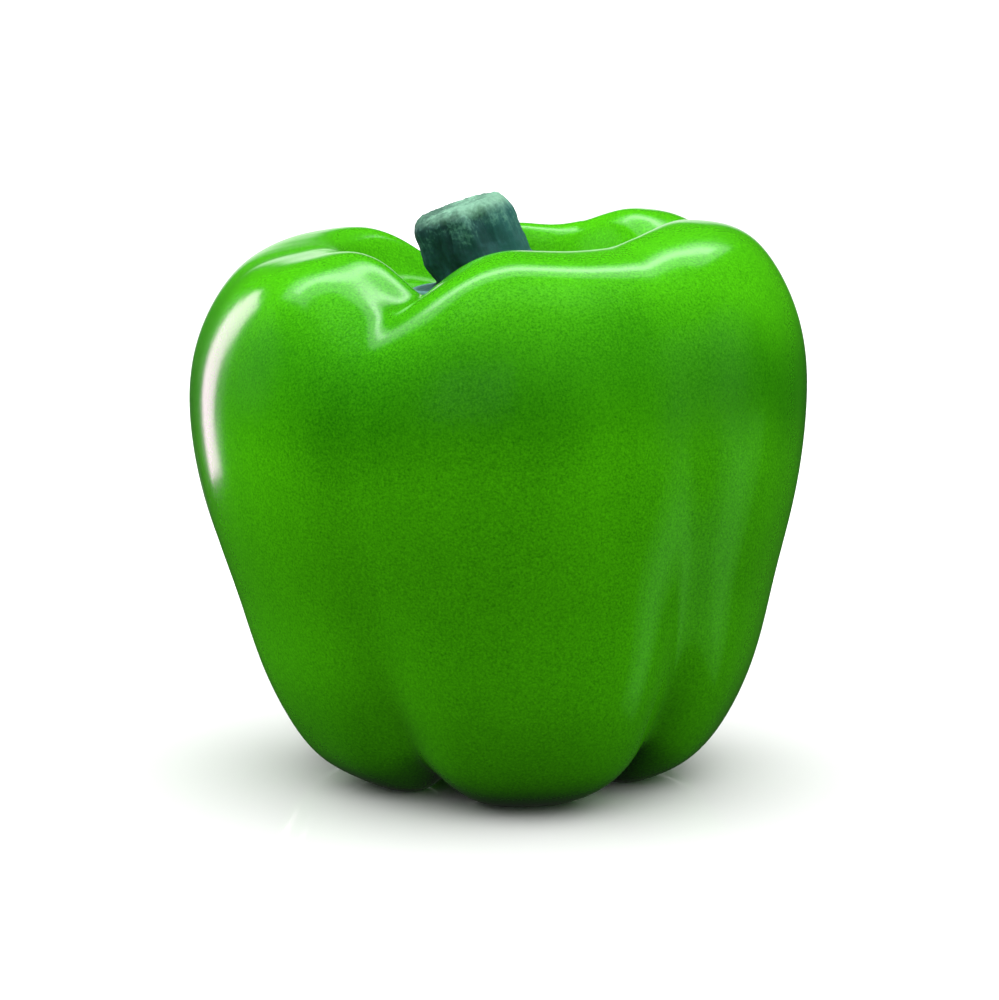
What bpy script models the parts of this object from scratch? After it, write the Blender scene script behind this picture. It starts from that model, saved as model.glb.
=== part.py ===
"""A green bell pepper that stands on its lobes: the fruit, and the cut stem with the calyx it grew into.

Units are metres, +Z is up and -Y is the front. The origin lies on the surface that the pepper stands on,
below the middle of its box. Azimuths are in degrees from the front and grow towards +X.
"""

from collections import namedtuple

import bmesh
import bpy
import numpy as np

MM = 0.001

# Half section of the fruit, as (radius, height) in mm of a cubic B-spline's control points. It starts on
# the floor of the stem cavity, goes over the shoulder and down the side, and ends in the blossom dimple.
SECTION = [
    (0, 70), (6, 69.7), (12, 70), (20, 69.7), (22, 81), (29, 80.8), (37.5, 79.5), (44.2, 67.2), (45.3, 55.6),
    (44.3, 41.5), (41.7, 29.5), (40.1, 17), (34.5, 5.8), (28.8, 2), (18.2, -1.8), (12.5, 4.5), (6, 7), (0, 7),
]

# The lobes, anticlockwise from above. A lobe spans an arc in degrees and starts with a crease. Girths scale
# its radius at the belt and at the foot; rises, in mm, lift its shoulder and its foot. Its crease is cut
# to a depth in mm at the shoulder, the side and the foot, and drifts by some degrees on its way down.
Lobe = namedtuple(
    "Lobe", "name span belt foot shoulder_rise foot_rise crease_shoulder crease_side crease_foot drift"
)
FIRST_CREASE = 36
LOBES = [
    Lobe("right", 71, 0.98, 0.90, 1.0, 0.0, 1.2, 1.6, 5.0, 7),
    Lobe("rear_right", 43, 0.91, 0.99, 0.2, 1.2, 3.0, 1.0, 2.5, 0),
    Lobe("rear", 48, 0.95, 0.96, -3.5, 0.0, 0.6, 1.6, 4.0, 0),
    Lobe("rear_left", 75, 1.07, 0.95, -3.2, 0.8, 7.5, 1.6, 4.5, 0),
    Lobe("front_left", 59, 0.99, 0.895, -3.8, 0.0, 1.2, 1.2, 4.5, 0),
    Lobe("front", 64, 1.01, 1.03, -1.8, 0.0, 6.3, 1.0, 4.0, 3),
]
# Where along the section each part of a crease is deepest, and how far it reaches either way.
CREASE_SHOULDER = (0.225, 0.10)
CREASE_SIDE = (0.50, 0.20)
CREASE_FOOT = (0.81, 0.19)
CREASE_ROUNDING = 0.16
# A crease's flanks are straight at the shoulder, and this much steeper towards its bottom at the foot.
CREASE_NARROWING = 0.9
# Nearer to the axis than this, the creases and the feet's rises fade out.
FADE_RADIUS = 16 * MM
# A crease is cut straight down at the crest, straight in at the side and straight up at the foot.
CREST_END, SIDE_START, SIDE_END, FOOT_START = 0.18, 0.42, 0.62, 0.86

# The feet reach this far below the ground plane before they are trimmed flat on it.
FOOT_TRIM = 0.35 * MM

FRUIT_COLUMNS_PER_LOBE = 12
FRUIT_ROWS = 48

# The stem's centre line rises from the cavity floor and leans to the left: (x, height, radius) in mm.
STEM_LINE = [(-0.6, 71.5, 9.2), (-1.8, 73.2, 8.7), (-3.5, 76.2, 8.2), (-5.4, 79.4, 7.8), (-6.8, 83.2, 7.5)]
STEM_RIBS = 6
STEM_RIB_SHARE = 0.025
STEM_ROWS = 8
# The cut end's edge is rounded, and more so on its right side than on its left.
END_ROUNDING_LEFT = 4.2 * MM
END_ROUNDING_RIGHT = 7.2 * MM
END_ROWS = 6

# The calyx is a thin collar on the cavity floor, with one blunt point for each lobe.
CALYX_RADIUS = 12.3 * MM
CALYX_POINT = 0.9 * MM
CALYX_THICKNESS = 0.9 * MM
CALYX_HOLLOW = 0.5 * MM
CALYX_GAP = 0.3 * MM
CALYX_ROWS = 6
COLLAR_ROWS = 4
STEM_COLUMNS_PER_LOBE = 8


def ease(share):
    """0 to 1 with a soft start and end, for a share from 0 to 1."""
    return 0.5 - 0.5 * np.cos(np.pi * np.clip(share, 0, 1))


def around(field, turn):
    """A lobe's value, eased from one lobe to the next: field k holds where turn is k."""
    values = np.array([getattr(lobe, field) for lobe in LOBES], float)
    whole = np.floor(turn).astype(int)
    mix = ease(turn - whole)
    return values[whole % len(LOBES)] * (1 - mix) + values[(whole + 1) % len(LOBES)] * mix


def section_line():
    """The half section as a fine line of (radius, height), from a NURBS curve on its control points."""
    curve = bpy.data.curves.new("section", "CURVE")
    spline = curve.splines.new("NURBS")
    spline.points.add(len(SECTION) - 1)
    for point, (radius, height) in zip(spline.points, SECTION):
        point.co = (radius * MM, height * MM, 0, 1)
    spline.order_u = 4
    spline.use_endpoint_u = True
    spline.resolution_u = 24
    guide = bpy.data.objects.new("section", curve)
    line = np.array([vertex.co.xy for vertex in guide.to_mesh().vertices])
    bpy.data.objects.remove(guide)
    bpy.data.curves.remove(curve)
    return line


def section(share):
    """Radius and height at a share of the half section's length."""
    steps = np.hypot(*np.diff(SECTION_LINE, axis=0).T)
    length = np.concatenate([[0], np.cumsum(steps)])
    return [np.interp(share * length[-1], length, values) for values in SECTION_LINE.T]


def azimuth(turn, low):
    """Angle in radians of a place counted in lobes from the first crease; low grows to 1 at the foot."""
    creases = FIRST_CREASE + np.cumsum([0] + [lobe.span for lobe in LOBES])
    return np.radians(np.interp(turn, np.arange(len(creases)), creases) + around("drift", turn) * low)


def crease_depth(turn, share, low):
    """How deep the skin is drawn in, in metres: most on a crease, and nothing along a lobe's ridge."""
    depth = 0
    for field, (middle, reach) in (
        ("crease_shoulder", CREASE_SHOULDER),
        ("crease_side", CREASE_SIDE),
        ("crease_foot", CREASE_FOOT),
    ):
        depth = depth + around(field, turn) * MM * np.exp(-(((share - middle) / reach) ** 2))
    dome = np.sqrt(np.sin(np.pi * turn) ** 2 + CREASE_ROUNDING**2) - CREASE_ROUNDING
    flank = np.clip(1 - dome / (np.sqrt(1 + CREASE_ROUNDING**2) - CREASE_ROUNDING), 0, 1)
    return depth * flank ** (1 + CREASE_NARROWING * low)


def skin(turn, share):
    """A point of the skin: turn counts lobes from the first crease, share runs down the half section."""
    radius, height = section(share)
    low = ease((share - 0.4) / 0.4)
    high = ease((share - 0.06) / 0.2) * (1 - low)
    lobe = turn - 0.5
    off_axis = ease(radius / FADE_RADIUS)
    depth = crease_depth(turn, share, low) * off_axis
    radius = radius * (around("belt", lobe) * (1 - low) + around("foot", lobe) * low)
    rise = around("shoulder_rise", lobe) * high + around("foot_rise", lobe) * low * off_axis
    height = height + rise * MM
    facing = ease((share - CREST_END) / (SIDE_START - CREST_END))
    facing = facing + ease((share - SIDE_END) / (FOOT_START - SIDE_END))
    radius = np.maximum(radius - depth * np.sin(np.pi / 2 * facing), 0)
    height = height - depth * np.cos(np.pi / 2 * facing)
    angle = azimuth(turn, low)
    return np.stack([radius * np.sin(angle), -radius * np.cos(angle), height - FOOT_TRIM], axis=-1)


def closed_mesh(name, rings, first, last):
    """A mesh from rings of points, closed by a fan to the point before them and one after them."""
    shell = bmesh.new()
    rows = [[shell.verts.new(point) for point in ring] for ring in rings]
    start = shell.verts.new(first)
    end = shell.verts.new(last)
    count = len(rows[0])
    for column in range(count):
        following = (column + 1) % count
        shell.faces.new((start, rows[0][following], rows[0][column]))
        for row, below in zip(rows, rows[1:]):
            shell.faces.new((row[column], row[following], below[following], below[column]))
        shell.faces.new((end, rows[-1][column], rows[-1][following]))
    bmesh.ops.recalc_face_normals(shell, faces=shell.faces)
    mesh = bpy.data.meshes.new(name)
    shell.to_mesh(mesh)
    shell.free()
    return mesh


def trim_feet(mesh):
    """Cuts the feet off flat on the ground plane, and closes each cut."""
    shell = bmesh.new()
    shell.from_mesh(mesh)
    everything = [*shell.verts, *shell.edges, *shell.faces]
    cut = bmesh.ops.bisect_plane(shell, geom=everything, plane_no=(0, 0, -1), dist=1e-7, clear_outer=True)
    rims = [item for item in cut["geom_cut"] if isinstance(item, bmesh.types.BMEdge)]
    bmesh.ops.edgeloop_fill(shell, edges=rims)
    bmesh.ops.recalc_face_normals(shell, faces=shell.faces)
    shell.to_mesh(mesh)
    shell.free()


def make_fruit():
    """The fruit: a lathed body whose section changes from lobe to lobe, with a crease between two lobes."""
    turn = np.arange(len(LOBES) * FRUIT_COLUMNS_PER_LOBE) / FRUIT_COLUMNS_PER_LOBE
    share = np.linspace(0, 1, FRUIT_ROWS + 1)[:, None] * np.ones(len(turn))
    points = skin(turn * np.ones_like(share), share)
    mesh = closed_mesh("fruit", points[1:-1], points[0, 0], points[-1, 0])
    trim_feet(mesh)
    return mesh


def stem_rings(angle):
    """Rings up the stem's wall and over its rounded cut end, and the middle of that end."""
    line = np.array(STEM_LINE) * MM
    end_x, end_z, end_radius = line[-1]
    lean_x, lean_z = (line[-1] - line[-2])[:2] / np.hypot(*(line[-1] - line[-2])[:2])
    rib = 1 + STEM_RIB_SHARE * np.cos(STEM_RIBS * angle)
    rounding = END_ROUNDING_LEFT + (END_ROUNDING_RIGHT - END_ROUNDING_LEFT) * ease(0.5 + 0.5 * np.sin(angle))

    def ring(middle_x, middle_z, radius, square, drop):
        """A ring across the stem, from level (square is 0) to square with its cut end (square is 1)."""
        side = radius * np.sin(angle)
        x = middle_x + side * (1 + (lean_z - 1) * square) - drop * lean_x
        z = middle_z - side * lean_x * square - drop * lean_z
        return np.stack([x, -radius * np.cos(angle), z], axis=-1)

    rings = []
    for share in np.linspace(0, 1, STEM_ROWS + 1):
        middle_x, middle_z, radius = (np.interp(share, np.linspace(0, 1, len(line)), row) for row in line.T)
        rings.append(ring(middle_x, middle_z, radius * rib, ease(share), rounding * share))
    for share in np.linspace(0, 1, END_ROWS + 1)[1:-1]:
        drop = rounding * (1 - np.sin(np.pi / 2 * np.sqrt(share)))
        rings.append(ring(end_x, end_z, end_radius * rib * np.cos(np.pi / 2 * share), 1, drop))
    return rings, (end_x, 0, end_z)


def make_stem():
    """The stem stub and the calyx in one piece: the collar's underside and top, the stem and its cut end."""
    turn = np.arange(len(LOBES) * STEM_COLUMNS_PER_LOBE) / STEM_COLUMNS_PER_LOBE
    shares = np.linspace(0, 0.15, 200)
    floor_radius = section(shares)[0]

    def on_floor(radius, lift):
        """Points at a radius from the fruit's axis, lifted off the cavity's floor."""
        return skin(turn, np.interp(radius, floor_radius, shares)) + (0, 0, lift)

    rim = CALYX_RADIUS + CALYX_POINT * np.cos(2 * np.pi * turn)
    rings = [on_floor(rim * share, CALYX_GAP) for share in np.linspace(0, 1, CALYX_ROWS + 1)[1:]]
    rim_top = on_floor(rim, CALYX_GAP + CALYX_THICKNESS)
    wall, middle = stem_rings(azimuth(turn, 0))
    for share in np.linspace(0, 1, COLLAR_ROWS + 1)[:-1]:
        rings.append(rim_top * (1 - share) + wall[0] * share - (0, 0, CALYX_HOLLOW * np.sin(np.pi * share)))
    return closed_mesh("stem_with_calyx", rings + wall, on_floor(rim * 0, CALYX_GAP)[0], middle)


def plain_material(name, colour, roughness):
    """A material of one colour."""
    material = bpy.data.materials.new(name)
    material.use_nodes = True
    shader = material.node_tree.nodes["Principled BSDF"]
    shader.inputs["Base Color"].default_value = (*colour, 1)
    shader.inputs["Roughness"].default_value = roughness
    shader.inputs["Metallic"].default_value = 0
    return material


def add_object(mesh, material, parent):
    """Links a mesh into the scene as an object of the pepper."""
    mesh.materials.append(material)
    mesh.shade_smooth()
    item = bpy.data.objects.new(mesh.name, mesh)
    item.parent = parent
    bpy.context.collection.objects.link(item)
    return item


for item in list(bpy.data.objects):
    bpy.data.objects.remove(item)

SECTION_LINE = section_line()
pepper = bpy.data.objects.new("pepper", None)
bpy.context.collection.objects.link(pepper)
fruit = add_object(make_fruit(), plain_material("green_skin", (0.035, 0.28, 0.003), 0.2), pepper)
add_object(make_stem(), plain_material("dry_stem", (0.02, 0.09, 0.075), 0.7), pepper)

# The middle of the fruit's box goes over the origin.
corners = np.array(fruit.bound_box)
pepper.location = (*(-(corners.min(axis=0) + corners.max(axis=0)) / 2)[:2], 0)
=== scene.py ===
"""A green bell pepper with its cut stem, standing on a plain white table in soft studio light.

Metres, +Z up, -Y to the front. The pepper is made in the order in which it is put together: the fruit,
then the stem with its calyx on the floor of the fruit's cavity, then the table, the lights and the camera.
"""

from collections import namedtuple

import bmesh
import bpy
import numpy as np
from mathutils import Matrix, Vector, noise


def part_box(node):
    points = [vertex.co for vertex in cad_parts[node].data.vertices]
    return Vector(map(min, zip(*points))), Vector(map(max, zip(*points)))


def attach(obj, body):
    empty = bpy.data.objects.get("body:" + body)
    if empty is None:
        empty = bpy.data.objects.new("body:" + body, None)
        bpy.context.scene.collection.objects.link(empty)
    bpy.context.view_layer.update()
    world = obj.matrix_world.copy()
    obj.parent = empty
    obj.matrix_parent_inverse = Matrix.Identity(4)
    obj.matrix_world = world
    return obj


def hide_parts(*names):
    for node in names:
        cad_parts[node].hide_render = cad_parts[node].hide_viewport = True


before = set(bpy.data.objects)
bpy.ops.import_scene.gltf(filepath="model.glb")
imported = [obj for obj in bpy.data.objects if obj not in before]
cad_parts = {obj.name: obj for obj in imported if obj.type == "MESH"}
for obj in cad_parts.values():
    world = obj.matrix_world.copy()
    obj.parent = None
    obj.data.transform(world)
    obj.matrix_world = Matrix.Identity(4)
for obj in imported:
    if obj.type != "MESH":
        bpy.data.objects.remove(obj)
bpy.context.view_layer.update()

# ---- The fruit ------------------------------------------------------------------------------------------
# A green bell pepper is a hollow berry of a few lobes that grew as one piece. It swells out from the stem
# cavity over the shoulders and draws in to the blossom end, with a crease wherever two lobes meet. Its skin
# is smooth and waxy, and never quite even.

MM = 0.001

# Half section of the fruit, as (radius, height) in mm of a cubic B-spline's control points. It starts on
# the floor of the stem cavity, goes over the shoulder and down the side, and ends in the blossom dimple.
SECTION = [
    (0, 70), (6, 69.7), (12, 70), (20, 69.7), (22, 81), (29, 80.8), (37.5, 79.5), (44.2, 67.2), (45.3, 55.6),
    (44.3, 41.5), (41.7, 29.5), (40.1, 17), (34.5, 5.8), (28.8, 2), (18.2, -1.8), (12.5, 4.5), (6, 7), (0, 7),
]

# The lobes, anticlockwise from above. A lobe spans an arc in degrees and starts with a crease. Girths scale
# its radius at the belt and at the foot; rises, in mm, lift its shoulder and its foot. Its crease is cut
# to a depth in mm at the shoulder, the side and the foot, and drifts by some degrees on its way down.
Lobe = namedtuple(
    "Lobe", "name span belt foot shoulder_rise foot_rise crease_shoulder crease_side crease_foot drift"
)
FIRST_CREASE = 36
LOBES = [
    Lobe("right", 71, 0.98, 0.90, 1.0, 0.0, 1.2, 1.6, 5.0, 7),
    Lobe("rear_right", 43, 0.91, 0.99, 0.2, 1.2, 3.0, 1.0, 2.5, 0),
    Lobe("rear", 48, 0.95, 0.96, -3.5, 0.0, 0.6, 1.6, 4.0, 0),
    Lobe("rear_left", 75, 1.07, 0.95, -3.2, 0.8, 7.5, 1.6, 4.5, 0),
    Lobe("front_left", 59, 0.99, 0.895, -3.8, 0.0, 1.2, 1.2, 4.5, 0),
    Lobe("front", 64, 1.01, 1.03, -1.8, 0.0, 6.3, 1.0, 4.0, 3),
]
# Where along the section each part of a crease is deepest, and how far it reaches either way.
CREASES = [("crease_shoulder", 0.225, 0.10), ("crease_side", 0.50, 0.20), ("crease_foot", 0.81, 0.19)]
CREASE_ROUNDING = 0.16
# A crease's flanks are straight at the shoulder, and this much steeper towards its bottom at the foot.
CREASE_NARROWING = 0.9
# Nearer to the axis than this, the creases and the feet's rises fade out.
FADE_RADIUS = 16 * MM
# A crease is cut straight down at the crest, straight in at the side and straight up at the foot.
CREST_END, SIDE_START, SIDE_END, FOOT_START = 0.18, 0.42, 0.62, 0.86
# Shares of the section over which the shoulder's numbers come in, and over which the foot's do.
SHOULDER_BLEND = (0.06, 0.26)
FOOT_BLEND = (0.4, 0.8)
# The feet reach this far below the table before they are flattened on it.
FOOT_TRIM = 0.35 * MM
FRUIT_COLUMNS = 288
FRUIT_ROWS = 224
# How far the skin wanders from the smooth shape: broad dents, and shallow ribs that run down from the stem.
DENT_DEPTH = 0.22 * MM
DENT_SIZE = 20 * MM
RIB_DEPTH = 0.06 * MM
# A rib's width, as a share of the radius.
RIB_WIDTH = 0.07
# The ribs come in over this distance from the axis, and all relief over this height above the table.
RIB_START = 20 * MM
FLAT_RISE = 3 * MM


class Wire:
    """An output socket of a node tree, to write sums with: each operator adds the node that works it out."""

    def __init__(self, tree, socket):
        self.tree = tree
        self.socket = socket

    def node(self, kind, inputs=(), output=0, **settings):
        """Adds a node of a kind, with its settings and then the values or wires of its sockets."""
        made = self.tree.nodes.new(kind)
        for name, value in settings.items():
            setattr(made, name, value)
        for place, value in inputs.items() if isinstance(inputs, dict) else enumerate(inputs):
            if isinstance(value, Wire):
                self.tree.links.new(value.socket, made.inputs[place])
            else:
                made.inputs[place].default_value = value
        return Wire(self.tree, made.outputs[output] if made.outputs else None)

    def sum(self, operation, *values, clamp=False):
        """A Math node on the values."""
        return self.node("ShaderNodeMath", values, operation=operation, use_clamp=clamp)

    def __add__(self, other):
        return self.sum("ADD", self, other)

    def __sub__(self, other):
        return self.sum("SUBTRACT", self, other)

    def __rsub__(self, other):
        return self.sum("SUBTRACT", other, self)

    def __mul__(self, other):
        return self.sum("MULTIPLY", self, other)

    def __truediv__(self, other):
        return self.sum("DIVIDE", self, other)

    def __mod__(self, other):
        return self.sum("FLOORED_MODULO", self, other)

    def __pow__(self, other):
        return self.sum("POWER", self, other)

    __radd__ = __add__
    __rmul__ = __mul__

    def of(self, operation):
        """A Math function of this, such as its sine."""
        return self.sum(operation, self)

    def ease(self, start=0.0, end=1.0):
        """0 to 1 with a soft start and end, as this goes from start to end."""
        share = self.sum("DIVIDE", self - start, end - start, clamp=True)
        return 0.5 - 0.5 * (share * np.pi).of("COSINE")

    def held(self):
        """This, kept between 0 and 1."""
        return self.sum("ADD", self, 0, clamp=True)

    def scaled(self, factor):
        """This vector times a number."""
        return self.node("ShaderNodeVectorMath", {0: self, 3: factor}, operation="SCALE")

    def parts(self):
        """The X, Y and Z of this vector."""
        split = self.node("ShaderNodeSeparateXYZ", [self])
        return [Wire(self.tree, socket) for socket in split.socket.node.outputs]

    def joined(self, y, z):
        """A vector with this as its X."""
        return self.node("ShaderNodeCombineXYZ", [self, y, z])

    def noise(self, size, detail=2.0, roughness=0.5, seed=0.0):
        """Noise over this position, from 0 to 1, with lumps about so many metres across."""
        settings = {"noise_dimensions": "4D"}
        inputs = {"Vector": self, "W": seed, "Scale": 0.5 / size, "Detail": detail, "Roughness": roughness}
        return self.node("ShaderNodeTexNoise", inputs, **settings)

    def mix(self, first, second):
        """The first colour where this is 0, and the second where it is 1."""
        settings = {"data_type": "RGBA", "blend_type": "MIX"}
        inputs = {0: self, 6: first, 7: second}
        return self.node("ShaderNodeMix", inputs, output=2, **settings)


def lobed_fruit_tree():
    """The rule of the fruit: a sheet of lobes by shares of the section is wrapped into a closed skin."""
    tree = bpy.data.node_groups.new("lobed_fruit", "GeometryNodeTree")
    for name, kind in (
        ("Lobes", "Geometry"), ("Section", "Object"), ("Columns", "Int"), ("Rows", "Int"),
        ("Foot Trim", "Float"), ("Crease Rounding", "Float"), ("Crease Narrowing", "Float"),
        ("Fade Radius", "Float"), ("Dent Depth", "Float"), ("Rib Depth", "Float"), ("Seed", "Float"),
        ("Skin", "Material"),
    ):
        tree.interface.new_socket(name, in_out="INPUT", socket_type=f"NodeSocket{kind}")
    tree.interface.new_socket("Fruit", in_out="OUTPUT", socket_type="NodeSocketGeometry")
    given = {socket.name: Wire(tree, socket) for socket in tree.nodes.new("NodeGroupInput").outputs}
    lobes = given["Lobes"]

    def of_lobe(field, turn):
        """A value of the lobe that this turn is in."""
        value = lobes.node("GeometryNodeInputNamedAttribute", {"Name": field}, data_type="FLOAT")
        number = turn.of("FLOOR") % len(LOBES)
        index = number.node("FunctionNodeFloatToInt", [number], rounding_mode="ROUND")
        inputs = {"Geometry": lobes, "Value": value, "Index": index}
        return lobes.node("GeometryNodeSampleIndex", inputs, data_type="FLOAT", domain="POINT")

    def around(field, turn):
        """A lobe's value, eased from one lobe to the next: field k holds where turn is k."""
        mix = turn.of("FRACT").ease()
        return of_lobe(field, turn) * (1 - mix) + of_lobe(field, turn + 1) * mix

    grid = {"Size X": len(LOBES), "Size Y": 1}
    grid["Vertices X"] = given["Columns"] + 1
    grid["Vertices Y"] = given["Rows"] + 1
    sheet = lobes.node("GeometryNodeMeshGrid", grid)
    across, along, _ = lobes.node("GeometryNodeInputPosition").parts()
    turn = across + len(LOBES) / 2
    share = along + 0.5

    section = lobes.node("GeometryNodeObjectInfo", {"Object": given["Section"]}, output="Geometry")
    point = section.node("GeometryNodeSampleCurve", {"Curves": section, "Factor": share}, output="Position")
    radius, height, _ = point.parts()
    low = share.ease(*FOOT_BLEND)
    high = share.ease(*SHOULDER_BLEND) * (1 - low)
    off_axis = radius.ease(0, given["Fade Radius"])
    lobe = turn - 0.5

    depth = sum(
        around(field, turn) * (0 - ((share - middle) / reach) ** 2).of("EXPONENT")
        for field, middle, reach in CREASES
    )
    rounding = given["Crease Rounding"]
    dome = ((turn * np.pi).of("SINE") ** 2 + rounding**2).of("SQRT") - rounding
    crease = (1 - dome / ((1 + rounding**2).of("SQRT") - rounding)).held()
    crease = crease ** (1 + given["Crease Narrowing"] * low)
    depth = depth * MM * crease * off_axis

    radius = radius * (around("belt", lobe) * (1 - low) + around("foot", lobe) * low)
    rise = around("shoulder_rise", lobe) * high + around("foot_rise", lobe) * low * off_axis
    facing = (share.ease(CREST_END, SIDE_START) + share.ease(SIDE_END, FOOT_START)) * (np.pi / 2)
    radius = radius.sum("MAXIMUM", radius - depth * facing.of("SINE"), 0)
    height = height + rise * MM - depth * facing.of("COSINE") - given["Foot Trim"]

    angle = of_lobe("crease_azimuth", turn) + of_lobe("span", turn) * turn.of("FRACT")
    angle = (angle + around("drift", turn) * low).of("RADIANS")
    place = (radius * angle.of("SINE")).joined(0 - radius * angle.of("COSINE"), height)
    skin = sheet.node("GeometryNodeSetPosition", {"Geometry": sheet, "Position": place})
    inputs = {"Geometry": skin, "Name": "crease", "Value": crease * off_axis}
    skin = skin.node("GeometryNodeStoreNamedAttribute", inputs, data_type="FLOAT", domain="POINT")
    skin = skin.node("GeometryNodeMergeByDistance", {"Geometry": skin, "Distance": 0.001 * MM})
    skin = skin.node("GeometryNodeFlipFaces", {"Mesh": skin})

    place = lobes.node("GeometryNodeInputPosition")
    x, y, z = place.parts()
    girth = (x**2 + y**2).of("SQRT")
    outward = (x / (girth + MM)).joined(y / (girth + MM), z * 4)
    dents = (place.noise(DENT_SIZE, 1, seed=given["Seed"]) - 0.5) * given["Dent Depth"] * 2
    ribs = (outward.noise(RIB_WIDTH, 1.5, seed=given["Seed"]) - 0.5) * given["Rib Depth"] * 2
    relief = (dents + ribs * girth.ease(0, RIB_START)) * z.ease(0, FLAT_RISE)
    away = lobes.node("GeometryNodeInputNormal").scaled(relief)
    skin = skin.node("GeometryNodeSetPosition", {"Geometry": skin, "Offset": away})
    x, y, z = lobes.node("GeometryNodeInputPosition").parts()
    on_table = x.joined(y, z.sum("MAXIMUM", z, 0))
    skin = skin.node("GeometryNodeSetPosition", {"Geometry": skin, "Position": on_table})
    skin = skin.node("GeometryNodeSetShadeSmooth", {"Geometry": skin, "Shade Smooth": True})
    skin = skin.node("GeometryNodeRealizeInstances", {"Geometry": skin})
    skin = skin.node("GeometryNodeSetMaterial", {"Geometry": skin, "Material": given["Skin"]})
    skin.node("NodeGroupOutput", [skin])
    return tree


def new_material(name, roughness, **uniform):
    """A Principled material, with the numbers that are the same all over it, and a wire of its places."""
    material = bpy.data.materials.new(name)
    material.use_nodes = True
    tree = material.node_tree
    shader = tree.nodes["Principled BSDF"]
    shader.inputs["Roughness"].default_value = roughness
    for socket, value in uniform.items():
        shader.inputs[socket.replace("_", " ")].default_value = value
    places = Wire(tree, tree.nodes.new("ShaderNodeTexCoord").outputs["Object"])
    return material, shader, places


def paint(shader, **wires):
    """Joins what changes over a surface to the shader's sockets. Bump is a height in metres."""
    for socket, wire in wires.items():
        if socket == "Bump":
            wire = wire.node("ShaderNodeBump", {"Height": wire, "Strength": 1.0, "Distance": 1.0})
            socket = "Normal"
        wire.tree.links.new(wire.socket, shader.inputs[socket.replace("_", " ")])


SKIN_DARK = (0.003, 0.085, 0.0001, 1)
SKIN_LIGHT = (0.079, 0.505, 0.0019, 1)
CLOUD_SIZE = 14 * MM
PATCH_SIZE = 26 * MM
SPECKLE_SIZE = 0.16 * MM
STREAK_SIZE = 4 * MM
STREAK_STRETCH = 0.15
DIMPLE_SIZE = 0.55 * MM
DIMPLE_DEPTH = 0.006 * MM
CLOUD_DEPTH = 0.05 * MM
# A painted dark reflection, a band of painted shade below the shoulder: in over the first two heights, out
# over the others.
REFLECTION_BAND_FOOT = (47 * MM, 60 * MM)
REFLECTION_BAND_TOP = (61 * MM, 75 * MM)
REFLECTION_BAND_WANDER = 16 * MM
REFLECTION_BAND_WAVE = 9 * MM


def waxy_skin():
    """Glossy green skin: mottled and finely speckled, with painted shade in the creases and a painted dark
    reflection below the shoulder.
    """
    material, shader, places = new_material(
        "waxy_green_skin", 0.22, Specular_Tint=(0.90, 1.0, 0.92, 1)
    )
    crease = places.node("ShaderNodeAttribute", output="Fac", attribute_name="crease")
    x, y, z = places.parts()
    clouds = places.noise(CLOUD_SIZE, 3, seed=2)
    speckle = places.noise(SPECKLE_SIZE, 2, 0.7, seed=5)
    stretched = x.joined(y, z * STREAK_STRETCH)
    streaks = stretched.noise(STREAK_SIZE, 2, seed=9)
    wavy = z + (stretched.noise(REFLECTION_BAND_WAVE, 2, seed=12) - 0.5) * REFLECTION_BAND_WANDER
    patches = places.noise(PATCH_SIZE, 2, seed=4).ease(0.35, 0.65)
    # The band below the shoulder is painted shade, a painted dark reflection, with its fine speckle toned
    # down.
    painted_reflection_band = wavy.ease(*REFLECTION_BAND_FOOT) * (1 - wavy.ease(*REFLECTION_BAND_TOP)) * (0.65 + patches * 0.35)
    # Painted shade darkens the tone a little in the creases, and the painted dark reflection darkens it below
    # the shoulder.
    tone = 0.5 + (clouds - 0.5) * 0.35 + (streaks - 0.5) * 0.12 - painted_reflection_band * 0.30 - crease * 0.05
    tone = tone + (speckle - 0.5) * (1.15 - painted_reflection_band * 0.65)
    green = tone.held().mix(SKIN_DARK, SKIN_LIGHT)
    gloss = 0.12 + clouds * 0.03 + speckle * 0.03
    dimples = places.noise(DIMPLE_SIZE, 2, seed=7) * DIMPLE_DEPTH + clouds * CLOUD_DEPTH
    paint(shader, Base_Color=green, Roughness=gloss, Bump=dimples)
    return material


def section_curve():
    """The half section as a curve object."""
    curve = bpy.data.curves.new("section", "CURVE")
    spline = curve.splines.new("NURBS")
    spline.points.add(len(SECTION) - 1)
    for point, (radius, height) in zip(spline.points, SECTION):
        point.co = (radius * MM, height * MM, 0, 1)
    spline.order_u = 4
    spline.use_endpoint_u = True
    spline.resolution_u = 24
    section = bpy.data.objects.new("section", curve)
    bpy.context.collection.objects.link(section)
    return section


def lobe_points():
    """One point for each lobe, that carries the lobe's numbers as attributes."""
    mesh = bpy.data.meshes.new("fruit")
    mesh.from_pydata([(number, 0, 0) for number in range(len(LOBES))], [], [])
    values = {field: [getattr(lobe, field) for lobe in LOBES] for field in Lobe._fields[1:]}
    values["crease_azimuth"] = FIRST_CREASE + np.cumsum([0, *values["span"][:-1]])
    for field, numbers in values.items():
        mesh.attributes.new(field, "FLOAT", "POINT").data.foreach_set("value", np.array(numbers, np.float32))
    lobes = bpy.data.objects.new("lobes", mesh)
    bpy.context.collection.objects.link(lobes)
    return lobes


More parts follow.
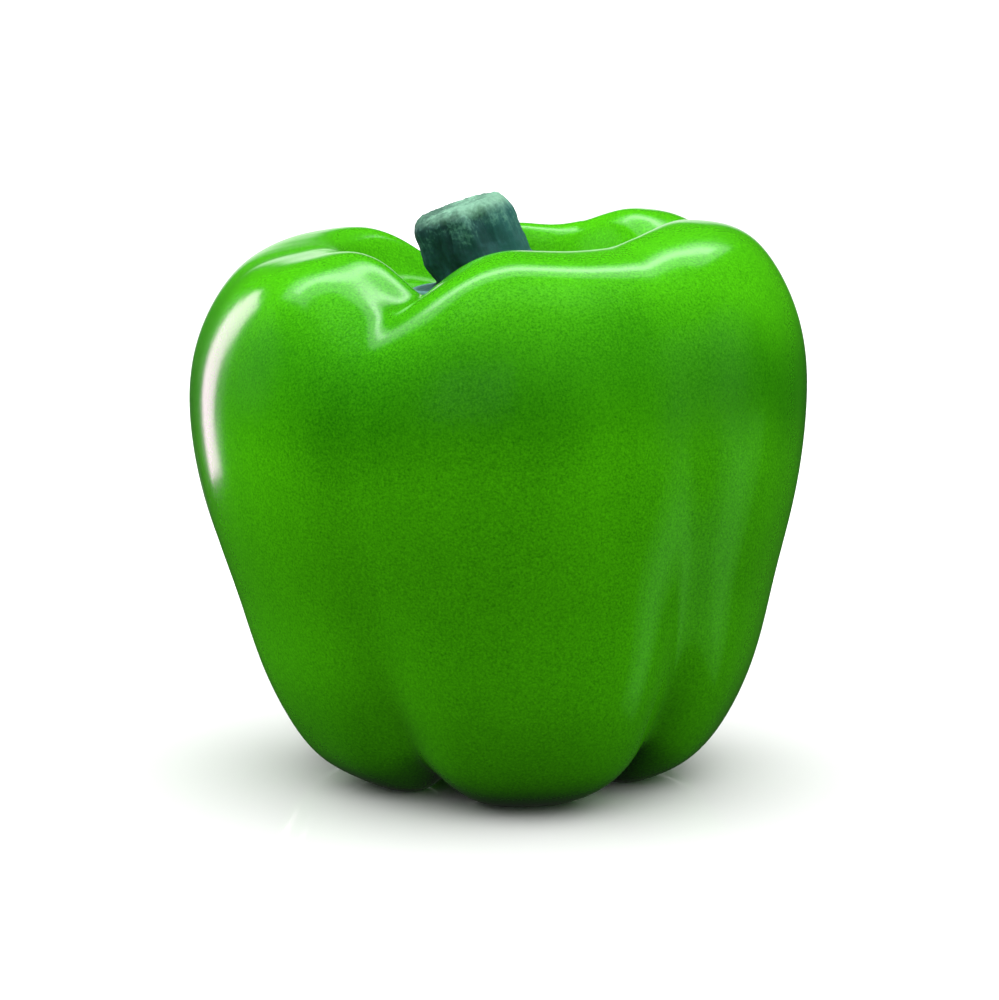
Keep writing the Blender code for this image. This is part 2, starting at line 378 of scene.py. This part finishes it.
def make_fruit():
    """Wraps the skin by the rule, as a plain mesh centred on the place of the fruit in the frame."""
    lobes = lobe_points()
    section = section_curve()
    modifier = lobes.modifiers.new("lobed_fruit", "NODES")
    modifier.node_group = lobed_fruit_tree()
    sizes = {
        "Section": section, "Columns": FRUIT_COLUMNS, "Rows": FRUIT_ROWS, "Foot Trim": FOOT_TRIM,
        "Crease Rounding": CREASE_ROUNDING, "Crease Narrowing": CREASE_NARROWING, "Fade Radius": FADE_RADIUS,
        "Dent Depth": DENT_DEPTH, "Rib Depth": RIB_DEPTH, "Seed": 3.0, "Skin": waxy_skin(),
    }
    for socket in modifier.node_group.interface.items_tree:
        if socket.name in sizes:
            modifier[socket.identifier] = sizes[socket.name]
    graph = bpy.context.evaluated_depsgraph_get()
    mesh = bpy.data.meshes.new_from_object(lobes.evaluated_get(graph), depsgraph=graph)
    mesh.name = "fruit"
    for helper in (lobes, section):
        bpy.data.objects.remove(helper)
    points = np.empty(len(mesh.vertices) * 3, np.float32)
    mesh.vertices.foreach_get("co", points)
    points = points.reshape(-1, 3)
    lowest, highest = (np.array(corner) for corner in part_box("fruit"))
    shift = (lowest + highest - points.min(axis=0) - points.max(axis=0)) / 2 * (1, 1, 0)
    mesh.vertices.foreach_set("co", (points + shift).ravel())
    mesh.update()
    piece = bpy.data.objects.new("pepper_fruit", mesh)
    bpy.context.collection.objects.link(piece)
    return piece, shift


fruit, fruit_shift = make_fruit()
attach(fruit, "root")
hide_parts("fruit")

# ---- The stem and its calyx ------------------------------------------------------------------------------
# The stub of the woody stem, cut off with shears, and the thin collar of the calyx that it grew from. Both
# are one dry, fibrous piece. It lies on the floor of the cavity, and its cut end is rough and half dried.

# The centre line rises from the cavity floor and leans to the left: (x, height, radius) in mm.
STEM_LINE = [(-0.6, 71.5, 9.2), (-1.8, 73.2, 8.7), (-3.5, 76.2, 8.2), (-5.4, 79.4, 7.8), (-6.8, 83.2, 7.5)]
STEM_RIBS = 6
STEM_RIB_SHARE = 0.025
# The cut end's edge is rounded, and more so on its right side than on its left.
END_ROUNDING_LEFT = 4.2 * MM
END_ROUNDING_RIGHT = 7.2 * MM
CALYX_RADIUS = 12.3 * MM
CALYX_POINT = 0.9 * MM
CALYX_THICKNESS = 0.9 * MM
CALYX_HOLLOW = 0.5 * MM
CALYX_GAP = 0.3 * MM
# The floor of the cavity is looked for downwards from this height.
ABOVE_FLOOR = 90 * MM
STEM_COLUMNS = 240
UNDERSIDE_ROWS, COLLAR_ROWS, WALL_ROWS, END_ROWS = 5, 22, 84, 46
FURROW_DEPTH = 0.30 * MM
FIBRE_DEPTH = 0.10 * MM
# The widths of the furrows and the fibres, as shares of the stem's radius.
FURROW_WIDTH, FIBRE_WIDTH = 0.33, 0.085
LUMP_DEPTH = 0.22 * MM
LUMP_SIZE, GRIT_SIZE, CUT_GRIT_SIZE = 2.4 * MM, 0.8 * MM, 0.45 * MM
NOTCH_DEPTH = 1.1 * MM
PITH_DEPTH = 0.7 * MM
# The rim of the cut end, counted along the stem: 1 at its base, 2 at the edge of the cut, 3 at the middle.
RIM_ALONG, RIM_REACH = 2.12, 0.16


def ease(share):
    """0 to 1 with a soft start and end, for a share from 0 to 1."""
    return 0.5 - 0.5 * np.cos(np.pi * np.clip(share, 0, 1))


def lumps(points, size, seed=0.0):
    """Noise from -1 to 1 at each point, with lumps about so many metres across."""
    offset = np.array((seed * 7.31, seed * 3.17, seed * 5.93))
    flat = np.reshape(points, (-1, 3)) / size + offset
    return np.array([noise.noise(Vector(point)) for point in flat]).reshape(np.shape(points)[:-1])


def on_floor(radius, angle, lift):
    """Points at a radius from the fruit's axis, lifted off the floor of its cavity."""
    points = []
    for out, turned in zip(radius, angle):
        start = fruit_shift + (out * np.sin(turned), -out * np.cos(turned), ABOVE_FLOOR)
        _, place, _, _ = fruit.ray_cast(start, (0, 0, -1))
        points.append(np.array(place) + (0, 0, lift))
    return np.array(points)


def stem_rings(angle):
    """Rings up the stem's wall and over its cut end, and how far along each one is: 1 to 2, and 2 to 3."""
    line = np.array(STEM_LINE) * MM
    end_x, end_z, end_radius = line[-1]
    lean_x, lean_z = (line[-1] - line[-2])[:2] / np.hypot(*(line[-1] - line[-2])[:2])
    rib = 1 + STEM_RIB_SHARE * np.cos(STEM_RIBS * angle)
    rounding = END_ROUNDING_LEFT + (END_ROUNDING_RIGHT - END_ROUNDING_LEFT) * ease(0.5 + 0.5 * np.sin(angle))

    def ring(middle_x, middle_z, radius, square, drop):
        """A ring across the stem, from level (square is 0) to square with its cut end (square is 1)."""
        side = radius * np.sin(angle)
        x = middle_x + side * (1 + (lean_z - 1) * square) - drop * lean_x
        z = middle_z - side * lean_x * square - drop * lean_z
        return np.stack([x, -radius * np.cos(angle), z], axis=-1) + fruit_shift

    rings = []
    for share in np.linspace(0, 1, WALL_ROWS + 1):
        middle_x, middle_z, radius = (np.interp(share, np.linspace(0, 1, len(line)), row) for row in line.T)
        rings.append((1 + share, ring(middle_x, middle_z, radius * rib, ease(share), rounding * share)))
    for share in np.linspace(0, 1, END_ROWS + 1)[1:]:
        drop = rounding * (1 - np.sin(np.pi / 2 * np.sqrt(share)))
        size = end_radius * rib * max(np.cos(np.pi / 2 * share), 0.01)
        rings.append((2 + share, ring(end_x, end_z, size, 1, drop)))
    return rings


def stem_relief(points, along, angle):
    """How far each point of the stem stands proud, in metres: furrows, fibres, a ragged rim, sunken pith."""
    around = np.stack([np.sin(angle), -np.cos(angle), np.zeros_like(angle)], axis=-1) * np.ones_like(points)
    run = np.clip(along, 0, 2.15)[:, None, None] * np.array((0, 0, 1.0))
    wall = ease((along - 0.9) / 0.3)[:, None]
    end = ease((along - 2.05) / 0.25)[:, None]
    rim = np.exp(-(((along - RIM_ALONG) / RIM_REACH) ** 2))[:, None]
    furrows = lumps(around + run * 0.35, FURROW_WIDTH, 1) * FURROW_DEPTH
    fibres = lumps(around + run * 0.25, FIBRE_WIDTH, 2) * FIBRE_DEPTH
    relief = (furrows + fibres) * (0.35 + 0.65 * wall) * (1 - 0.8 * end)
    relief += lumps(points, LUMP_SIZE, 3) * LUMP_DEPTH * wall
    relief += lumps(points, GRIT_SIZE, 4) * LUMP_DEPTH * 0.3
    relief += lumps(points, CUT_GRIT_SIZE, 5) * LUMP_DEPTH * 0.7 * end
    relief += lumps(around, 0.16, 6) * LUMP_DEPTH * 1.6 * rim
    relief -= np.clip(lumps(around, 0.22, 7) - 0.12, 0, 1) * NOTCH_DEPTH * 2 * rim
    relief -= ease((along - 2.45) / 0.25)[:, None] * PITH_DEPTH
    return relief


BARK_DARK, BARK_LIGHT = (0.0008, 0.009, 0.008, 1), (0.015, 0.090, 0.086, 1)
SCUFFED = (0.070, 0.19, 0.14, 1)
CUT_DARK, CUT_LIGHT = (0.004, 0.036, 0.024, 1), (0.13, 0.28, 0.19, 1)
LEAF_DARK, LEAF_LIGHT = (0.010, 0.055, 0.048, 1), (0.045, 0.14, 0.13, 1)
LEAF_RIM_HIGHLIGHT = (0.10, 0.24, 0.24, 1)
BLOTCH_SIZE, GRAIN_SIZE, FUZZ_SIZE = 3.2 * MM, 0.65 * MM, 0.22 * MM
GRAIN_DEPTH, FUZZ_DEPTH = 0.10 * MM, 0.05 * MM
# The bark is painted lighter from the left of these places to the right: painted light on the stem's right
# side.
PAINTED_LIGHT_SPAN = (-6 * MM, 3 * MM)


def woody_stem():
    """Dark blue-green bark with streaks, painted light on its right, grey scuffs by the cut, pale fibres on
    the cut end, a painted highlight on the calyx's rim.
    """
    material, shader, places = new_material("woody_stem", 0.7, Specular_IOR_Level=0.35)
    along = places.node("ShaderNodeAttribute", output="Fac", attribute_name="along")
    x, y, z = places.parts()
    grain = (x + z * 0.45).joined(y, z * 0.30)
    blotches = places.noise(BLOTCH_SIZE, 3, 0.6, seed=1)
    streaks = grain.noise(GRAIN_SIZE, 3, 0.65, seed=2)
    fuzz = places.noise(FUZZ_SIZE, 2, 0.7, seed=3)
    painted_light_side = x.ease(*PAINTED_LIGHT_SPAN)
    # Half of the bark's tone is painted light: lighter on the right side of the stem.
    bark = (blotches.ease(0.3, 0.7) * 0.25 + streaks.ease(0.3, 0.75) * 0.25 + painted_light_side * 0.5).mix(
        BARK_DARK, BARK_LIGHT
    )
    near_cut = along.ease(1.5, 2.1)
    scuffs = (near_cut + (blotches - 0.5) * 2.4 + (streaks - 0.5) * 1.2 + (fuzz - 0.5) * 1.4).ease(0.9, 1.9)
    worn = scuffs.mix(bark, SCUFFED)
    fibre = (blotches.ease(0.40, 0.62) * 0.6 + fuzz.ease(0.25, 0.75) * 0.25 + streaks * 0.15).mix(
        CUT_DARK, CUT_LIGHT
    )
    cut = along.ease(2.10, 2.35).mix(worn, fibre)
    leaf = (streaks * 0.6 + blotches * 0.4).mix(LEAF_DARK, LEAF_LIGHT)
    # The calyx's rim is painted pale teal: a painted highlight.
    rim = (1 - along.ease(0.02, 0.22)).mix(leaf, LEAF_RIM_HIGHLIGHT)
    colour = along.ease(0.75, 1.05).mix(rim, cut)
    rough = 0.6 + fuzz * 0.25
    height = streaks * GRAIN_DEPTH + fuzz * FUZZ_DEPTH
    paint(shader, Base_Color=colour, Roughness=rough, Bump=height)
    return material


def make_stem():
    """The collar's underside and top, the stem's wall and its cut end, as one closed skin."""
    angle = np.arange(STEM_COLUMNS) / STEM_COLUMNS * 2 * np.pi
    creases = np.radians(FIRST_CREASE + np.cumsum([0] + [lobe.span for lobe in LOBES]))
    turn = np.interp((angle - creases[0]) % (2 * np.pi), creases - creases[0], np.arange(len(creases)))
    calyx = CALYX_RADIUS + CALYX_POINT * np.cos(2 * np.pi * turn)
    rings = []
    for share in np.linspace(0, 1, UNDERSIDE_ROWS + 1)[1:]:
        rings.append((0, on_floor(calyx * share, angle, CALYX_GAP)))
    edge = on_floor(calyx, angle, CALYX_GAP + CALYX_THICKNESS)
    wall = stem_rings(angle)
    for share in np.linspace(0, 1, COLLAR_ROWS + 1)[:-1]:
        collar = edge * (1 - share) + wall[0][1] * share - (0, 0, CALYX_HOLLOW * np.sin(np.pi * share))
        rings.append((share, collar))
    rings += wall

    along = np.array([row for row, _ in rings])
    points = np.array([ring for _, ring in rings])
    across = np.roll(points, -1, axis=1) - np.roll(points, 1, axis=1)
    up = np.gradient(points, axis=0)
    normal = np.cross(across, up)
    normal /= np.linalg.norm(normal, axis=-1, keepdims=True) + 1e-12
    relief = stem_relief(points, along, angle)
    relief[:UNDERSIDE_ROWS] = 0
    relief[UNDERSIDE_ROWS:] *= ease(np.arange(len(rings) - UNDERSIDE_ROWS) / 4)[:, None]
    points = points + normal * relief[..., None]

    shell = bmesh.new()
    rows = [[shell.verts.new(point) for point in ring] for ring in points]
    bottom = shell.verts.new(points[0].mean(axis=0))
    top = shell.verts.new(points[-1].mean(axis=0))
    for column in range(STEM_COLUMNS):
        following = (column + 1) % STEM_COLUMNS
        shell.faces.new((bottom, rows[0][following], rows[0][column]))
        for row, above in zip(rows, rows[1:]):
            shell.faces.new((row[column], row[following], above[following], above[column]))
        shell.faces.new((top, rows[-1][column], rows[-1][following]))
    bmesh.ops.recalc_face_normals(shell, faces=shell.faces)
    mesh = bpy.data.meshes.new("pepper_stem")
    shell.to_mesh(mesh)
    shell.free()
    values = np.concatenate([np.repeat(along, STEM_COLUMNS), [0, 3]]).astype(np.float32)
    mesh.attributes.new("along", "FLOAT", "POINT").data.foreach_set("value", values)
    mesh.shade_smooth()
    mesh.materials.append(woody_stem())
    piece = bpy.data.objects.new("pepper_stem", mesh)
    bpy.context.collection.objects.link(piece)
    return piece


stem = make_stem()
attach(stem, "root")
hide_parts("stem_with_calyx")

# ---- The table, the lights and the camera ---------------------------------------------------------------
# A smooth white table top in a white room. A wide softbox hangs behind and above the pepper, a tall one
# stands behind it on the left and a dim one low on its right. The other lights don't show in its gloss.

TABLE_HALF = 6.0
TABLE_MIRROR = 0.19
TABLE_MIRROR_RADIUS = 0.16
TABLE_MIRROR_ROUGHNESS = 0.06
TABLE_WHITE = (0.95, 0.95, 0.95, 1)
# The sun that lights only the table: its strength, and its width in degrees.
TABLE_SUN, TABLE_SUN_WIDTH = 2.4, 120
# The camera looks at this place.
TARGET = Vector((0.00056, 0, 0.0399))


def white_table():
    """White laminate, a little glossy near the pepper."""
    material, shader, places = new_material(
        "white_laminate", 0.5, Specular_IOR_Level=0.0, Base_Color=TABLE_WHITE
    )
    tree = material.node_tree
    x, y, _ = places.parts()
    near = 1 - (x**2 + y**2).of("SQRT").ease(TABLE_MIRROR_RADIUS / 2, TABLE_MIRROR_RADIUS)
    mirror = places.node("ShaderNodeBsdfGlossy", {"Color": (1, 1, 1, 1), "Roughness": TABLE_MIRROR_ROUGHNESS})
    matt = Wire(tree, shader.outputs[0])
    surface = places.node("ShaderNodeMixShader", [near * TABLE_MIRROR, matt, mirror])
    tree.links.new(surface.socket, tree.nodes["Material Output"].inputs["Surface"])
    return material


corners = [(-TABLE_HALF, -TABLE_HALF, 0), (TABLE_HALF, -TABLE_HALF, 0), (TABLE_HALF, TABLE_HALF, 0)]
corners.append((-TABLE_HALF, TABLE_HALF, 0))
table_mesh = bpy.data.meshes.new("table_top")
table_mesh.from_pydata(corners, [], [(0, 1, 2, 3)])
table_mesh.materials.append(white_table())
table = bpy.data.objects.new("table_top", table_mesh)
bpy.context.collection.objects.link(table)
# The pepper neither mirrors the table nor is lit by it, and the table doesn't block the softboxes.
table.visible_glossy = False
table.visible_diffuse = False
table.visible_shadow = False

only_pepper = bpy.data.collections.new("only_pepper")
only_pepper.objects.link(fruit)
only_pepper.objects.link(stem)


def softbox(name, azimuth, elevation, distance, size, power, colour=(1, 1, 1), glossy=True, diffuse=True):
    """An area light that faces the pepper and lights only it; azimuth in degrees from the front to +X."""
    lamp = bpy.data.lights.new(name, "AREA")
    lamp.shape = "RECTANGLE"
    lamp.size, lamp.size_y = size
    lamp.energy = power
    lamp.color = colour
    holder = bpy.data.objects.new(name, lamp)
    bpy.context.collection.objects.link(holder)
    a, e = np.radians(azimuth), np.radians(elevation)
    back = Vector((np.sin(a) * np.cos(e), -np.cos(a) * np.cos(e), np.sin(e)))
    holder.location = TARGET + back * distance
    holder.rotation_euler = back.to_track_quat("Z", "Y").to_euler()
    holder.visible_camera = False
    holder.visible_glossy = glossy
    holder.visible_diffuse = diffuse
    holder.light_linking.receiver_collection = only_pepper


softbox("back_top_box", 190, 63, 0.60, (1.00, 0.30), 1.5, (0.95, 1.0, 0.95))
softbox("back_top_core", 190, 60, 0.59, (0.80, 0.09), 0.8, (0.95, 1.0, 0.95))
softbox("top_matt", 0, 84, 0.60, (0.8, 0.4), 5.2, glossy=False)
softbox("rear_left_strip", -137, 4.5, 0.7, (0.16, 0.44), 1.05, (1.0, 0.62, 0.92), diffuse=False)
softbox("rear_left_matt", -110, 15, 0.8, (0.4, 0.4), 7.0, glossy=False)
softbox("key", -20, 18, 0.9, (0.6, 0.4), 4.4, glossy=False)
softbox("right_fill", 88, 9, 0.9, (0.4, 0.6), 6.0, glossy=False)
softbox("right_strip", 95, -22, 0.8, (0.34, 0.40), 0.18, (0.3, 1.0, 0.2), diffuse=False)
softbox("right_strip_core", 95, -22, 0.79, (0.16, 0.24), 0.06, (0.3, 1.0, 0.2), diffuse=False)
table_light = bpy.data.objects.new("table_light", bpy.data.lights.new("table_light", "SUN"))
table_light.data.energy = TABLE_SUN
table_light.data.angle = np.radians(TABLE_SUN_WIDTH)
table_light.visible_glossy = False
only_table = bpy.data.collections.new("only_table")
only_table.objects.link(table)
table_light.light_linking.receiver_collection = only_table
bpy.context.collection.objects.link(table_light)

# The room: white to the eye, brighter from above on matt surfaces, and almost dark in the gloss apart from
# the white wall behind.
ROOM_LIGHT = 1.62
ROOM_GLOSS = 0.02
world = bpy.data.worlds.new("studio")
world.use_nodes = True
bpy.context.scene.world = world
background = world.node_tree.nodes["Background"]
background.inputs["Color"].default_value = (1, 1, 1, 1)
seen = Wire(world.node_tree, world.node_tree.nodes.new("ShaderNodeLightPath").outputs["Is Camera Ray"])
gloss = Wire(world.node_tree, seen.socket.node.outputs["Is Glossy Ray"])
direction = Wire(world.node_tree, world.node_tree.nodes.new("ShaderNodeTexCoord").outputs["Generated"])
_, behind, above = direction.parts()
wall = behind.ease(0.97, 0.99)
soft = above.held() * ROOM_LIGHT * (1 - gloss) + gloss * (ROOM_GLOSS + wall)
strength = seen + (1 - seen) * soft
world.node_tree.links.new(strength.socket, background.inputs["Strength"])

# The lens and the sensor are in mm, the distance in metres and the elevation in degrees.
CAMERA_LENS, CAMERA_SENSOR = 149.3, 36
CAMERA_DISTANCE, CAMERA_ELEVATION = 0.6, 9.7
camera = bpy.data.objects.new("camera", bpy.data.cameras.new("camera"))
bpy.context.collection.objects.link(camera)
camera.data.lens = CAMERA_LENS
camera.data.sensor_width = CAMERA_SENSOR
elevation = np.radians(CAMERA_ELEVATION)
back = Vector((0, -np.cos(elevation), np.sin(elevation)))
camera.location = TARGET + back * CAMERA_DISTANCE
camera.rotation_euler = back.to_track_quat("Z", "Y").to_euler()
camera.data.clip_start = 0.01
bpy.context.scene.camera = camera
bpy.context.scene.view_settings.view_transform = "Standard"
